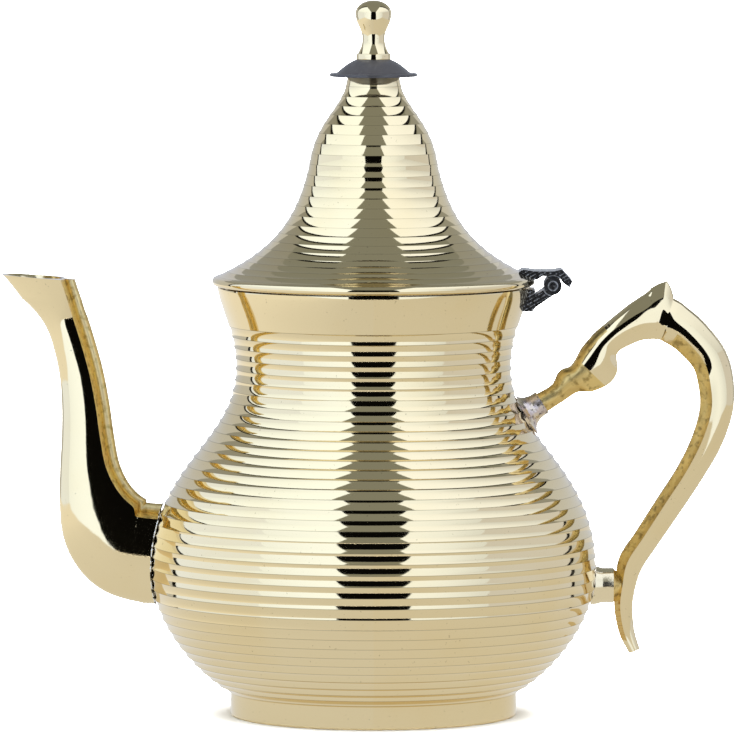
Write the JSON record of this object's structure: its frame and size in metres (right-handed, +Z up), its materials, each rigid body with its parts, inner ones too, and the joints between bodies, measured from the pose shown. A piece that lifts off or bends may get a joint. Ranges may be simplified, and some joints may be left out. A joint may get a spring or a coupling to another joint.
{
  "type": "teapot",
  "caption": "Ribbed metal teapot with a pear-shaped body on a foot ring, a hinged bell-shaped lid with a knob, a curved pouring spout and a scrolled handle.",
  "frame": {"origin": "centre of the foot's rest plane, on the axis of the spun body", "axes": "+Z up along the axis of the body, -X towards the spout's lip, +X towards the handle and the lid's hinge, +Y across"},
  "size_m": [0.2561, 0.1558, 0.25],
  "materials": {
    "body_brass": "spun brass, fluted and mirror polished",
    "foot_brass": "turned brass, polished",
    "spout_brass": "cast brass, polished outside, rough groove at the back",
    "handle_brass": "cast brass, polished outside, rough cast inner side",
    "socket_brass": "cast brass with heat marks and solder",
    "hinge_metal": "dark antiqued casting with engraved scrolls",
    "lid_brass": "spun brass, fluted and mirror polished",
    "knob_brass": "turned brass, polished",
    "disc_black": "black heat-proof plastic, satin",
    "screw_steel": "plain steel"
  },
  "bodies": {
    "pot": {"foot_ring": "foot_brass", "base_plate": "foot_brass", "body_shell": "body_brass", "spout_left_half": "spout_brass", "spout_right_half": "spout_brass", "handle_lower_sleeve": "socket_brass", "handle_upper_socket": "socket_brass", "handle": "handle_brass", "hinge_bracket": "hinge_metal", "hinge_pin": "hinge_metal"},
    "lid": {"lid_shell": "lid_brass", "lid_collar": "lid_brass", "lid_hinge_leaf": "hinge_metal", "insulator_disc": "disc_black", "knob": "knob_brass", "knob_washer": "screw_steel", "knob_screw": "screw_steel"}
  },
  "joints": [
    {"name": "lid_hinge", "type": "hinge", "parent": "pot", "child": "lid", "pos_m": [0.0625, 0, 0.1507], "axis": [0, 1, 0], "range_deg": [0, 105]}
  ]
}
